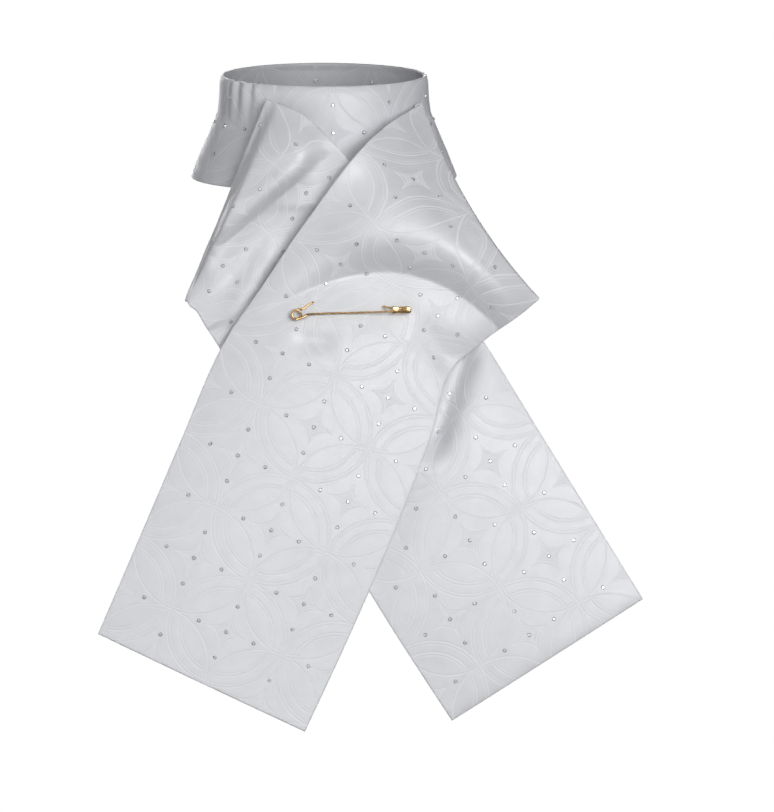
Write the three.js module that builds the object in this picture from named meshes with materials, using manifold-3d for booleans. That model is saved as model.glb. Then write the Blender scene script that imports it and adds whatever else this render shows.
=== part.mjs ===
// A stock tie in the form that it takes when worn: a flared neckband, two wide strips that are folded
// at the sides and cross in front, and the gold pin that holds the crossing.
// Millimetres. X is to the viewer's right, Y away from the viewer, Z up, and "front" is the distance
// towards the viewer, which is -Y. The origin is the middle of the neckband's hollow.
import * as THREE from "three";
import { mergeVertices } from "three/addons/utils/BufferGeometryUtils.js";
import Module from "manifold-3d";

const wasm = await Module();
wasm.setup();

// Driving dimensions of the cloth
const stripWidth = 133;
const stripWall = 1.8;
const foldRadius = 1.6; // of a strip's middle surface where it turns back
const bandWall = 2;
const bandHeight = 60;
const bandTip = THREE.MathUtils.degToRad(4); // the band sits lower in front
const bandClearance = 2.9; // from the band to the middle of the nearest strip layer
const bandEdgeRoom = 8; // how far below the band's lower edge that clearance still holds
const hemCurl = 1; // how far the under tail's hem bends back
const hemCurlReach = 8;

// Half sizes of the neckband's outer face at each drop below its top edge
const bandProfile = table(
  ["drop", "halfWidth", "halfDepth"],
  [
    [0, 60, 50.5],
    [4, 61, 52.2],
    [14, 61.5, 53],
    [22, 62.5, 53.5],
    [32, 66.5, 54.5],
    [46, 72.5, 58],
    [60, 78, 63],
  ],
);

// Soft gathers at the top of the band, at the viewer's left
const gathers = { from: 196, to: 238, count: 4, rise: 0.8, reach: 26 };
const bandSteps = { plain: 32, gathered: 18, down: 5 };

// Sections across each strip, from the fold line to the hem. "in" is the edge that shows in the V,
// "out" is the other one, bow moves the section's middle along the strip, and front0 to front3 are
// the front distances at even steps from in to out.
const sectionColumns = ["inX", "inZ", "outX", "outZ", "bow", "front0", "front1", "front2", "front3"];
const overSections = table(sectionColumns, [
  [56.5, 15.0, 125.6, -96.4, 6.4, 28, 56, 73, 75],
  [35.7, 4.0, 121.0, -100.0, 2.9, 63, 68, 78, 75],
  [15.2, -15.1, 113.5, -105.9, 0, 84, 79, 84, 76],
  [-14.0, -55.4, 85.4, -126.9, 0, 77, 81, 86, 79],
  [-36.3, -88.7, 71.4, -142.8, 0, 80, 92, 95, 89],
  [-60.8, -125.5, 62.0, -177.5, 0, 86, 98, 100, 96],
  [-84.2, -179.2, 39.2, -236.1, 0, 94, 103, 105, 102],
  [-107.6, -233.8, 14.6, -292.6, 0, 99, 106, 107, 104],
  [-132.2, -290.8, -11.1, -347.9, 0, 102, 107, 108, 106],
]);
const underSections = table(sectionColumns, [
  [-32.3, 19.3, -80.0, -98.6, 0, 54, 58, 58, 62],
  [-11.1, 10.3, -78.4, -101.3, 0, 64, 63, 61, 64],
  [15.2, -15.5, -74.3, -104.6, 0, 74, 68, 64, 66],
  [38.6, -47.2, -69.0, -113.2, 0, 69, 67, 68, 70],
  [62.0, -78.7, -60.8, -125.4, 0, 68, 72, 76, 77],
  [93.0, -120.9, -21.1, -189.5, 0, 72, 83, 86, 86],
  [124.0, -170.1, 9.9, -239.4, 0, 84, 91, 92, 92],
  [155.6, -221.0, 41.5, -290.7, 0, 90, 95, 97, 96],
  [186.6, -271.0, 74.9, -342.1, 0, 93, 97, 98, 97],
]);

// Folds of the drape: each rises (or, below zero, sinks) along a line seen from the front, which
// bends sideways by bow. above and below are how far it reaches on each side of that line. With
// tuck at 1 its lower side is a parabola that ends in a crease, and with 0 it fades out softly.
// It also fades out over ends at each end of the line, and near the fold line of its strip.
const foldColumns = ["fromX", "fromZ", "toX", "toZ", "bow", "rise", "above", "below", "tuck", "ends"];
const creaseSoftness = 0.06; // how much the crease under a tuck is rounded, as a share of its rise
const overFolds = table(foldColumns, [
  [-50, -95, 140, -140, 62, 19, 34, 25, 1, 72],
  [52, -100, 80, -146, 0, -2.5, 7, 7, 0, 18],
  [-22, -119, 12, -121, 0, -2.5, 6, 6, 0, 14],
  [30, -100, 110, -126, 0, 3, 14, 12, 0, 28],
]);
const underFolds = table(foldColumns, [
  [-80, -65, 2, 5, 0, 16, 26, 13, 1, 24],
  [-76, -94, -2, -12, 8, 5.5, 6, 9, 0, 20],
  [-58, -112, -24, -58, 0, 3, 7, 7, 0, 20],
  [88, -112, 58, -196, 0, -8.5, 9, 10, 0, 26],
]);

// The layer behind each fold line: its free edge runs from the first point to the second
const overReturn = { fromX: 53, fromZ: 14, fromFront: 32, toX: 90.7, toZ: -103, toFront: 54 };
const underReturn = { fromX: -30, fromZ: 16, fromFront: 50, toX: -39.8, toZ: -107.6, toFront: 54 };

// Stones: a square lattice turned by 45 degrees, with one more stone in the middle of each diamond
const stoneRadius = 1.25;
const tableRadius = 0.75;
const stoneRise = 0.9;
const stoneSunk = 0.6;
const stoneSides = 8;
const stoneFacing = 0.6; // none stands where a strip turns further away from the front
const pitchAcross = 17.05;
const pitchAlong = 16.3;
const overDiamond = { across: 67.4, along: 98.6 };
const underDiamond = { across: 67.4, along: 83.6 };

// The pin
const wireRadius = 0.55;
const coilRadius = 2.7;
const coilTurns = 2;
const coilPitch = 1.25;
const coilFront = 1.6; // how far its first turn stands before the bar
const coilStepsPerTurn = 12;
const wireSides = 6;
const pinFront = 94.1;
const coilX = -15.8;
const coilZ = -104;
const barEndX = 49.5;
const barEndZ = -102.1;
const barRiseX = -7.5; // where the bar bends down to the coil
const needleTipX = 48;
const needleTipZ = -100.4;
const needleBehind = 86.2; // front distance of the needle's stretch behind the cloth
const holeRadius = 0.95;
const stoneFreeWidth = 3.4; // no stone stands this close to the bar
const guardFromX = 40.2;
const guardToX = 51.2;
const guardHeight = 4.3;
const guardZ = -101.3;
const guardDepth = 2.3;
const guardWall = 0.35;
const guardRound = 0.9;

// A table with named columns: each row becomes an object
function table(columns, rows) {
  return rows.map((row) => Object.fromEntries(columns.map((name, i) => [name, row[i]])));
}

// A smooth curve through a column of evenly spaced rows
function smooth(rows, key, at) {
  const last = rows.length - 1;
  const i = Math.min(Math.max(Math.floor(at), 0), last - 1);
  const t = at - i;
  const [a, b] = [rows[i][key], rows[i + 1][key]];
  const before = rows[i - 1]?.[key] ?? 2 * a - b;
  const after = rows[i + 2]?.[key] ?? 2 * b - a;
  const [slopeA, slopeB] = [(b - before) / 2, (after - a) / 2];
  return a + t * (slopeA + t * (3 * (b - a) - 2 * slopeA - slopeB + t * (2 * (a - b) + slopeA + slopeB)));
}

// A straight-line reading of a column at a value of another one
function lookUp(rows, keyIn, keyOut, value) {
  let i = 0;
  while (i < rows.length - 2 && rows[i + 1][keyIn] < value) i++;
  const t = (value - rows[i][keyIn]) / (rows[i + 1][keyIn] - rows[i][keyIn]);
  return rows[i][keyOut] + Math.min(Math.max(t, 0), 1) * (rows[i + 1][keyOut] - rows[i][keyOut]);
}

function smoothMax(a, b, softness) {
  return (a + b + Math.hypot(a - b, softness)) / 2;
}

function softStep(t) {
  const held = Math.min(Math.max(t, 0), 1);
  return held * held * (3 - 2 * held);
}

function fadeInOut(t, share) {
  return softStep(t / share) * softStep((1 - t) / share);
}

// Cubic through four values at even steps of u from 0 to 1
function acrossFour(values, u) {
  const t = 3 * u;
  const weights = [
    -((t - 1) * (t - 2) * (t - 3)) / 6,
    (t * (t - 2) * (t - 3)) / 2,
    -(t * (t - 1) * (t - 3)) / 2,
    (t * (t - 1) * (t - 2)) / 6,
  ];
  return weights.reduce((sum, weight, i) => sum + weight * values[i], 0);
}

// A point of the neckband, at an angle from +X and a drop below the top edge
function bandPoint(angle, drop, inwards) {
  const degrees = (THREE.MathUtils.radToDeg(angle) + 360) % 360;
  const across = (degrees - gathers.from) / (gathers.to - gathers.from);
  const wave = Math.sin(2 * Math.PI * gathers.count * across);
  const fade = Math.max(0, 1 - drop / gathers.reach);
  const rise = gathers.rise * wave * fadeInOut(across, 0.3) * fade - inwards;
  const x = (lookUp(bandProfile, "drop", "halfWidth", drop) + rise) * Math.cos(angle);
  const y = (lookUp(bandProfile, "drop", "halfDepth", drop) + rise) * Math.sin(angle);
  return new THREE.Vector3(x, y, bandHeight / 2 - drop + y * Math.tan(bandTip));
}

// How far forward a layer has to be at x, z to lie a clearance off the band's outer face
function bandFront(x, z, clearance) {
  const drop = bandHeight / 2 - z - 4;
  const below = Math.max(0, drop - bandHeight - bandEdgeRoom);
  const halfWidth = lookUp(bandProfile, "drop", "halfWidth", drop) + clearance - below;
  const halfDepth = lookUp(bandProfile, "drop", "halfDepth", drop) + clearance - 1.5 * below;
  const share = 1 - (x / halfWidth) ** 2;
  return share > 0 ? halfDepth * Math.sqrt(share) : 0;
}

function foldRise(folds, x, z) {
  let sum = 0;
  for (const fold of folds) {
    const [dx, dz] = [fold.toX - fold.fromX, fold.toZ - fold.fromZ];
    const length = Math.hypot(dx, dz);
    const along = ((x - fold.fromX) * dx + (z - fold.fromZ) * dz) / length ** 2;
    const aside = ((z - fold.fromZ) * dx - (x - fold.fromX) * dz) / length;
    const off = aside - fold.bow * 4 * along * (1 - along);
    const share = off / (off > 0 ? fold.above : fold.below);
    const creased = off < 0 && fold.tuck > 0;
    const shape = creased ? smoothMax(1 - share ** 2, 0, creaseSoftness) : Math.exp(-(share ** 2));
    sum += fold.rise * shape * fadeInOut(along, fold.ends / length);
  }
  return sum;
}

// A strip's front layer: u runs from the in edge to the out edge, at is a row number of its sections
function layerPoint(strip, u, at) {
  const read = (key) => smooth(strip.sections, key, at);
  const [inX, inZ, outX, outZ] = [read("inX"), read("inZ"), read("outX"), read("outZ")];
  const length = Math.hypot(outX - inX, outZ - inZ);
  const bow = (read("bow") * 4 * u * (1 - u)) / length;
  const x = inX + u * (outX - inX) + bow * (outZ - inZ);
  const z = inZ + u * (outZ - inZ) - bow * (outX - inX);
  const fronts = [read("front0"), read("front1"), read("front2"), read("front3")];
  const drape = acrossFour(fronts, u) + softStep(at / strip.foldStart) * foldRise(strip.folds, x, z);
  const last = strip.sections.length - 1;
  const hemShare = Math.max(0, 1 - ((last - at) * strip.lastStep) / hemCurlReach);
  const front = smoothMax(drape, bandFront(x, z, bandClearance + 2 * foldRadius + 0.6), 3);
  return new THREE.Vector3(x, -(front - strip.hemCurl * hemShare ** 2), z);
}

// Rows of points from the free edge behind the fold line, round the fold and down to the hem
function stripRows(strip, steps) {
  const rows = [];
  const { sections, back } = strip;
  const us = Array.from({ length: steps.across + 1 }, (_, i) => i / steps.across);
  const turn = us.map((u) => {
    const here = layerPoint(strip, u, 0);
    const [before, after] = [Math.max(u - 0.01, 0), Math.min(u + 0.01, 1)];
    const along = layerPoint(strip, after, 0).sub(layerPoint(strip, before, 0));
    const down = layerPoint(strip, u, 0.05).sub(here);
    const forward = along.clone().cross(down).normalize();
    if (forward.y > 0) forward.negate();
    const outward = along.clone().cross(forward).normalize();
    if (outward.dot(down) > 0) outward.negate();
    return { here, forward, outward };
  });
  for (let i = 0; i < steps.back; i++) {
    const share = i / steps.back;
    rows.push(
      us.map((u, k) => {
        const x = back.fromX + u * (back.toX - back.fromX);
        const z = back.fromZ + u * (back.toZ - back.fromZ);
        const front = back.fromFront + u * (back.toFront - back.fromFront);
        const free = new THREE.Vector3(x, -front, z);
        const start = turn[k].here.clone().addScaledVector(turn[k].forward, -2 * foldRadius);
        const point = free.lerp(start, share);
        point.y = -smoothMax(-point.y, bandFront(point.x, point.z, bandClearance), 1);
        return point;
      }),
    );
  }
  for (let i = 0; i < steps.turn; i++) {
    const angle = Math.PI * (1 - i / steps.turn);
    rows.push(
      turn.map(({ here, forward, outward }) =>
        here
          .clone()
          .addScaledVector(outward, foldRadius * Math.sin(angle))
          .addScaledVector(forward, -foldRadius * (1 - Math.cos(angle))),
      ),
    );
  }
  const last = sections.length - 1;
  for (let i = 0; i <= steps.front; i++) {
    const at = last * (i / steps.front) ** steps.crowding;
    rows.push(us.map((u) => layerPoint(strip, u, at)));
  }
  return rows;
}

// The unit normals of a grid of points, towards the side that sign names
function gridNormals(rows, sign) {
  return rows.map((row, r) =>
    row.map((_, c) => {
      const across = row[Math.min(c + 1, row.length - 1)].clone().sub(row[Math.max(c - 1, 0)]);
      const down = rows[Math.min(r + 1, rows.length - 1)][c].clone().sub(rows[Math.max(r - 1, 0)][c]);
      return across.cross(down).normalize().multiplyScalar(sign);
    }),
  );
}

// A closed wall between two grids of points, which may wrap round in the direction of a row
function wallGeometry(outer, inner, wraps) {
  const [rowCount, columnCount] = [outer.length, outer[0].length];
  const points = [...outer.flat(), ...inner.flat()];
  const index = [];
  const at = (side, r, c) => (side * rowCount + r) * columnCount + (c % columnCount);
  // Each cell is split along its shorter diagonal
  const quad = (a, b, c, d) => {
    const slanted = points[a].distanceTo(points[c]) > points[b].distanceTo(points[d]);
    index.push(...(slanted ? [a, b, d, b, c, d] : [a, b, c, a, c, d]));
  };
  const columnsUsed = wraps ? columnCount : columnCount - 1;
  for (let c = 0; c < columnsUsed; c++) {
    for (let r = 0; r < rowCount - 1; r++) {
      quad(at(0, r, c), at(0, r + 1, c), at(0, r + 1, c + 1), at(0, r, c + 1));
      quad(at(1, r, c), at(1, r, c + 1), at(1, r + 1, c + 1), at(1, r + 1, c));
    }
    quad(at(0, 0, c), at(0, 0, c + 1), at(1, 0, c + 1), at(1, 0, c));
    const low = rowCount - 1;
    quad(at(0, low, c), at(1, low, c), at(1, low, c + 1), at(0, low, c + 1));
  }
  for (let r = 0; r < rowCount - 1 && !wraps; r++) {
    const end = columnCount - 1;
    quad(at(0, r, 0), at(1, r, 0), at(1, r + 1, 0), at(0, r + 1, 0));
    quad(at(0, r, end), at(0, r + 1, end), at(1, r + 1, end), at(1, r, end));
  }
  const geometry = new THREE.BufferGeometry().setFromPoints(points);
  return geometry.setIndex(index);
}

function offsetRows(rows, normals, distance) {
  return rows.map((row, r) => row.map((point, c) => point.clone().addScaledVector(normals[r][c], distance)));
}

// Solids for joining and cutting
function solidOf(geometry) {
  const bare = new THREE.BufferGeometry().setAttribute("position", geometry.getAttribute("position").clone());
  if (geometry.index) bare.setIndex(geometry.index.clone());
  const merged = mergeVertices(bare, 1e-4);
  const vertProperties = new Float32Array(merged.attributes.position.array);
  const triVerts = new Uint32Array(merged.index.array);
  return new wasm.Manifold(new wasm.Mesh({ numProp: 3, vertProperties, triVerts }));
}

function geometryOf(solid) {
  const mesh = solid.getMesh();
  const geometry = new THREE.BufferGeometry();
  geometry.setAttribute("position", new THREE.BufferAttribute(mesh.vertProperties, 3));
  return geometry.setIndex(new THREE.BufferAttribute(mesh.triVerts, 1));
}

// One faceted stone with a flat table, standing on a point of the cloth
function stoneAt(point, normal) {
  const outline = [
    [0, -stoneSunk],
    [stoneRadius + 0.15, -stoneSunk],
    [tableRadius, stoneRise],
    [0, stoneRise],
  ];
  const stone = new THREE.LatheGeometry(
    outline.map(([radius, height]) => new THREE.Vector2(radius, height)),
    stoneSides,
  );
  stone.applyQuaternion(new THREE.Quaternion().setFromUnitVectors(new THREE.Vector3(0, 1, 0), normal));
  return solidOf(stone.translate(point.x, point.y, point.z));
}

// The stones' places in cloth coordinates: across from the in edge and along from the hem
function stonePlaces(diamond, length) {
  const places = [];
  for (let n = -20; n <= 20; n++) {
    for (let m = -8; m <= 8; m++) {
      const across = diamond.across + m * pitchAcross;
      const along = diamond.along + n * pitchAlong;
      const onLattice = (m + n) % 2 !== 0;
      const inDiamond = m % 2 === 0 && n % 2 === 0 && (m + n) % 4 === 0;
      const fits = across > 7 && across < stripWidth - 7 && along > 7 && along < length;
      if (fits && (onLattice || inDiamond)) places.push({ across, along });
    }
  }
  return places;
}

// The stones that show on a strip's front layer
function stripStones(rows, outer, normals, diamond, firstRow, showing) {
  const stones = [];
  const columns = rows[0].length;
  const lengths = rows.map(() => new Array(columns).fill(0));
  for (let r = rows.length - 2; r >= firstRow; r--) {
    for (let c = 0; c < columns; c++) {
      lengths[r][c] = lengths[r + 1][c] + rows[r][c].distanceTo(rows[r + 1][c]);
    }
  }
  for (const { across, along } of stonePlaces(diamond, 420)) {
    const column = (across / stripWidth) * (columns - 1);
    const c = Math.min(Math.floor(column), columns - 2);
    const side = column - c;
    const lengthAt = (r) => lengths[r][c] + side * (lengths[r][c + 1] - lengths[r][c]);
    let r = rows.length - 2;
    while (r > firstRow && lengthAt(r) < along) r--;
    if (lengthAt(firstRow) < along + 4) continue;
    const down = (lengthAt(r) - along) / (lengthAt(r) - lengthAt(r + 1));
    const blend = (grid) => {
      const upper = grid[r][c].clone().lerp(grid[r][c + 1], side);
      return upper.lerp(grid[r + 1][c].clone().lerp(grid[r + 1][c + 1], side), down);
    };
    const point = blend(outer);
    const normal = blend(normals).normalize();
    if (-normal.y > stoneFacing && showing(point)) stones.push(stoneAt(point, normal));
  }
  return stones;
}

function fuse(solid, others) {
  return others.length ? solid.add(wasm.Manifold.union(others)) : solid;
}

// A path that passes through its points in even steps of its parameter, whatever their distances
class StationPath extends THREE.CatmullRomCurve3 {
  getPointAt(t, target) {
    return this.getPoint(t, target);
  }

  getTangentAt(t, target) {
    return this.getTangent(t, target);
  }

  getSpacedPoints(divisions) {
    return this.getPoints(divisions);
  }
}

function wire(points, radius, sides) {
  const section = new THREE.Shape(
    Array.from({ length: sides }, (_, i) => {
      const angle = (2 * Math.PI * i) / sides;
      return new THREE.Vector2(radius * Math.cos(angle), radius * Math.sin(angle));
    }),
  );
  const extrudePath = new StationPath(points);
  return new THREE.ExtrudeGeometry(section, { steps: points.length - 1, extrudePath, curveSegments: 1 });
}

function named(name, geometry, colour, roughness, metalness) {
  geometry.computeVertexNormals();
  const material = new THREE.MeshStandardMaterial({ color: colour, roughness, metalness });
  const mesh = new THREE.Mesh(geometry, material);
  mesh.name = name;
  return mesh;
}

// The angles of the band's columns, closer together where it is gathered
function bandAngles() {
  const [from, to] = [gathers.from, gathers.to].map(THREE.MathUtils.degToRad);
  const evenly = (start, span, count) => Array.from({ length: count }, (_, i) => start + (span * i) / count);
  const gathered = evenly(from, to - from, bandSteps.gathered);
  return [...gathered, ...evenly(to, 2 * Math.PI - (to - from), bandSteps.plain)];
}

function neckband() {
  const angles = bandAngles();
  const drops = Array.from({ length: bandSteps.down + 1 }, (_, i) => (bandHeight * i) / bandSteps.down);
  const outer = drops.map((drop) => angles.map((angle) => bandPoint(angle, drop, 0)));
  const inner = drops.map((drop) => angles.map((angle) => bandPoint(angle, drop, bandWall)));
  return wallGeometry(outer, inner, true);
}

const overSteps = { across: 13, back: 2, turn: 3, front: 31, crowding: 1.3 };
const underSteps = { across: 11, back: 2, turn: 3, front: 25, crowding: 1.25 };
const lastStep = 62; // how far apart the last two sections of a strip are
// foldStart says where the folds reach their full height, in sections from the fold line
const over = {
  sections: overSections,
  folds: overFolds,
  foldStart: 0.01,
  back: overReturn,
  hemCurl: 0,
  lastStep,
  steps: overSteps,
};
const under = {
  sections: underSections,
  folds: underFolds,
  foldStart: 0.35,
  back: underReturn,
  hemCurl,
  lastStep,
  steps: underSteps,
};

function strip(shape, sign, diamond, showing, holes) {
  const rows = stripRows(shape, shape.steps);
  const normals = gridNormals(rows, sign);
  const outer = offsetRows(rows, normals, stripWall / 2);
  const inner = offsetRows(rows, normals, -stripWall / 2);
  const wall = solidOf(sign < 0 ? wallGeometry(outer, inner, false) : wallGeometry(inner, outer, false));
  const firstRow = shape.steps.back + shape.steps.turn;
  const stones = stripStones(rows, outer, normals, diamond, firstRow, showing);
  const dressed = fuse(wall, stones);
  return geometryOf(holes.length ? dressed.subtract(wasm.Manifold.union(holes)) : dressed);
}

// Whether a stone of the over tail stands clear of the pin
function clearOfPin({ x, z }) {
  const barZ = coilZ + ((x - coilX) * (barEndZ - coilZ)) / (barEndX - coilX);
  const beside = x < coilX - 6 || x > guardToX + 3;
  return beside || z < barZ - stoneFreeWidth || z > barZ + 2.2 * stoneFreeWidth;
}

// Whether a stone of the under tail shows beyond the over tail's out edge
function clearOfOver({ x, z }) {
  const steps = 80;
  const last = overSections.length - 1;
  let i = 1;
  while (i < steps && smooth(overSections, "outZ", (last * i) / steps) > z) i++;
  return x > smooth(overSections, "outX", (last * i) / steps) + 3;
}

// The wire's points: along the bar, round the coil, and out along the needle to the hood
function pinPoints() {
  const at = (x, z, forward) => new THREE.Vector3(x, -(pinFront + forward), z);
  const points = [at(barEndX, barEndZ, 0), at(20, -102.9, 0), at(barRiseX, -103.8, 0), at(-10.5, -105, 0)];
  const steps = coilTurns * coilStepsPerTurn;
  for (let i = 0; i <= steps + coilStepsPerTurn / 2; i++) {
    const angle = -Math.PI / 2 - (2 * Math.PI * i) / coilStepsPerTurn;
    const forward = coilFront - (coilPitch * i) / coilStepsPerTurn;
    points.push(at(coilX + coilRadius * Math.cos(angle), coilZ + coilRadius * Math.sin(angle), forward));
  }
  const behind = needleBehind - pinFront;
  points.push(at(-11.8, -100.6, -2.8), at(-9, -98.8, -3.4), at(-6.5, -97.3, -4.2));
  points.push(at(-3, -96.8, behind), at(32, -99.3, behind), at(35, -99.7, -3));
  points.push(at(38.3, -100.1, -0.5), at(guardFromX, -100.3, 0), at(needleTipX, needleTipZ, 0));
  return points;
}

// The hood: a flat tube, closed at its far end, that the needle's point goes into
function guard() {
  const box = (fromX, toX, height, depth, round) => {
    const [h, d] = [height / 2, depth / 2];
    const outline = new THREE.Shape();
    outline.moveTo(-h + round, -d).lineTo(h - round, -d).quadraticCurveTo(h, -d, h, -d + round);
    outline.lineTo(h, d - round).quadraticCurveTo(h, d, h - round, d).lineTo(-h + round, d);
    outline.quadraticCurveTo(-h, d, -h, d - round).lineTo(-h, -d + round);
    outline.quadraticCurveTo(-h, -d, -h + round, -d);
    const settings = { depth: toX - fromX, bevelEnabled: false, curveSegments: 4 };
    const geometry = new THREE.ExtrudeGeometry(outline, settings);
    geometry.rotateY(Math.PI / 2);
    return solidOf(geometry.translate(fromX, -pinFront, guardZ));
  };
  const shell = box(guardFromX, guardToX, guardHeight, guardDepth, guardRound);
  const innerHeight = guardHeight - 2 * guardWall;
  const hollow = box(guardFromX - 1, guardToX - 0.8, innerHeight, guardDepth - 2 * guardWall, 0.5);
  return shell.subtract(hollow);
}

const clothColour = 0xdddfe4;
const goldColour = 0xd9a15a;
const pin = pinPoints();
const needleHole = wire(pin.slice(-8, -1), holeRadius, 8);

const stockTie = new THREE.Group();
stockTie.add(
  named("neckband", neckband(), clothColour, 0.5, 0),
  named("over_tail", strip(over, -1, overDiamond, clearOfPin, [solidOf(needleHole)]), clothColour, 0.5, 0),
  named("under_tail", strip(under, 1, underDiamond, clearOfOver, []), clothColour, 0.5, 0),
  named("pin_wire", wire(pin, wireRadius, wireSides), goldColour, 0.25, 1),
  named("pin_guard", geometryOf(guard()), goldColour, 0.25, 1),
);

export default stockTie;
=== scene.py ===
import math

import bpy
import numpy as np
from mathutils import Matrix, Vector
from mathutils.bvhtree import BVHTree


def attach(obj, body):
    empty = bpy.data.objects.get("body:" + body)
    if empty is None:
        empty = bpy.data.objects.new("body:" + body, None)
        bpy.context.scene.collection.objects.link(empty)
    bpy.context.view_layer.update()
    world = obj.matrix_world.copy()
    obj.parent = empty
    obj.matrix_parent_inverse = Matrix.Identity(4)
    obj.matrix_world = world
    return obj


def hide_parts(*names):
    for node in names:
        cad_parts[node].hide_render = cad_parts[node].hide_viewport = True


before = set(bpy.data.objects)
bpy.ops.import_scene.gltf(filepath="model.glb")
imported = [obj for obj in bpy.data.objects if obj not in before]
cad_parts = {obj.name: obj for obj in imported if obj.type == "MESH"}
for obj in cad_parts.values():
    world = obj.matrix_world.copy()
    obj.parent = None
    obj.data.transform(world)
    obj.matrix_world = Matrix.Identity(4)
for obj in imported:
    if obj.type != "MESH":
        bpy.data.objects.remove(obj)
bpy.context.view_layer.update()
mm = 0.001  # tables below are in millimetres, and meshes in metres


# Reading tables and shaping curves
def readSmooth(rows, at):
    # A cubic through evenly spaced rows: each slope is half the step between a row's two neighbours
    last = len(rows) - 1
    i = np.clip(np.floor(at).astype(int), 0, last - 1)
    t = (at - i)[:, None]
    a, b = rows[i], rows[i + 1]
    before = np.where((i > 0)[:, None], rows[np.maximum(i - 1, 0)], 2 * a - b)
    after = np.where((i + 2 <= last)[:, None], rows[np.minimum(i + 2, last)], 2 * b - a)
    slopeA, slopeB = (b - before) / 2, (after - a) / 2
    bend = 3 * (b - a) - 2 * slopeA - slopeB
    return a + t * (slopeA + t * (bend + t * (2 * (a - b) + slopeA + slopeB)))


def softStep(t):
    # 3t^2 - 2t^3 between 0 and 1, level outside
    held = np.clip(t, 0, 1)
    return held * held * (3 - 2 * held)


def fadeInOut(t, share):
    # Rises over the first share of 0..1 and falls over the last
    return softStep(t / share) * softStep((1 - t) / share)


def smoothMax(a, b, softness):
    # The larger of two values, with the corner rounded off
    return (a + b + np.hypot(a - b, softness)) / 2


def unit(v):
    # Vectors divided by their length
    return v / np.maximum(np.linalg.norm(v, axis=-1, keepdims=True), 1e-9)


def rimSteps(reach, count=4):
    # Distances from an edge that round it off: reach * (1 - cos) at even angles up to a right angle
    return reach * (1 - np.cos(np.linspace(0, math.pi / 2, count + 1)))


def crowdedEdges(width, reach, count):
    # Even steps across a width, with the rounding steps at both edges
    rim = rimSteps(reach)
    inside = np.linspace(reach, width - reach, count)[1:-1]
    return np.concatenate([rim, inside, width - rim[::-1]])


# Meshes
def newObject(name, vertices, faces, material, smoothFaces=True, innerShadeMaterial=None):
    # One smooth or flat mesh. With an inner shade material, a darker copy that paints shade, the second
    # half of its faces has that one.
    mesh = bpy.data.meshes.new(name)
    mesh.from_pydata((vertices * mm).tolist(), [], faces)
    count = len(mesh.polygons)
    mesh.polygons.foreach_set("use_smooth", [smoothFaces] * count)
    mesh.materials.append(material)
    if innerShadeMaterial is not None:
        mesh.materials.append(innerShadeMaterial)
        mesh.polygons.foreach_set("material_index", [int(i >= count // 2) for i in range(count)])
    mesh.update()
    made = bpy.data.objects.new(name, mesh)
    bpy.context.scene.collection.objects.link(made)
    return made


def setUv(made, name, perVertex, loop):
    # Copies one pair of numbers for each vertex to the corners of its four-sided faces. Where a face
    # closes a loop, its first number goes on past the loop's end instead of falling back. A loop of
    # 0 means that there is none.
    corners = np.zeros(len(made.data.loops), np.int32)
    made.data.loops.foreach_get("vertex_index", corners)
    pairs = perVertex[corners].reshape(-1, 4, 2)
    fallen = pairs[..., 0] < pairs[..., 0].max(1, keepdims=True) - loop / 2
    pairs[..., 0] += loop * fallen * (loop > 0)
    layer = made.data.uv_layers.new(name=name)
    layer.data.foreach_set("uv", pairs.astype(np.float32).ravel())


def gridNormals(points, wraps=False):
    # The cross product of the steps across and down the grid
    if wraps:
        across = np.roll(points, -1, 1) - np.roll(points, 1, 1)
    else:
        across = np.gradient(points, axis=1)
    return unit(np.cross(across, np.gradient(points, axis=0)))


def clothObject(name, middle, halfWall, repeats, material, loop=0, innerShadeMaterial=None):
    # A closed wall: the middle surface moved half a wall to each side. Where half the wall is
    # nothing, at the edges, both sides share their vertices, which makes a rounded rim. A band's
    # rows close on themselves, and loop is how many repeats of the pattern go round it.
    wraps = loop > 0
    rows, columns = halfWall.shape
    normals = gridNormals(middle, wraps)
    face = middle + normals * halfWall[..., None]
    reverse = middle - normals * halfWall[..., None]
    number = np.arange(rows * columns).reshape(rows, columns)
    shared = halfWall < 1e-9
    reverseNumber = np.where(shared, number, 0)
    reverseNumber[~shared] = rows * columns + np.arange((~shared).sum())
    vertices = np.concatenate([face.reshape(-1, 3), reverse[~shared]])
    uv = np.concatenate([repeats.reshape(-1, 2), repeats[~shared]])

    def quads(n):
        if wraps:
            n = np.concatenate([n, n[:, :1]], 1)
        return np.stack([n[:-1, :-1], n[:-1, 1:], n[1:, 1:], n[1:, :-1]], -1).reshape(-1, 4)

    faces = np.concatenate([quads(number), quads(reverseNumber)[:, ::-1]])
    made = newObject(name, vertices, faces.tolist(), material, True, innerShadeMaterial)
    setUv(made, "cloth", uv, loop)
    return made


# Shader maths: a Signal is a socket that can be added, multiplied and compared
class Signal:
    def __init__(self, shader, socket):
        self.shader = shader
        self.socket = socket

    def math(self, operation, *others):
        inputs = dict(enumerate((self, *others)))
        return self.shader.node("ShaderNodeMath", {"operation": operation}, inputs)

    def __add__(self, other):
        return self.math("ADD", other)

    __radd__ = __add__

    def __mul__(self, other):
        return self.math("MULTIPLY", other)

    __rmul__ = __mul__

    def __sub__(self, other):
        return self.math("SUBTRACT", other)

    def __rsub__(self, other):
        return self * -1 + other

    def __abs__(self):
        return self.math("ABSOLUTE")


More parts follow.
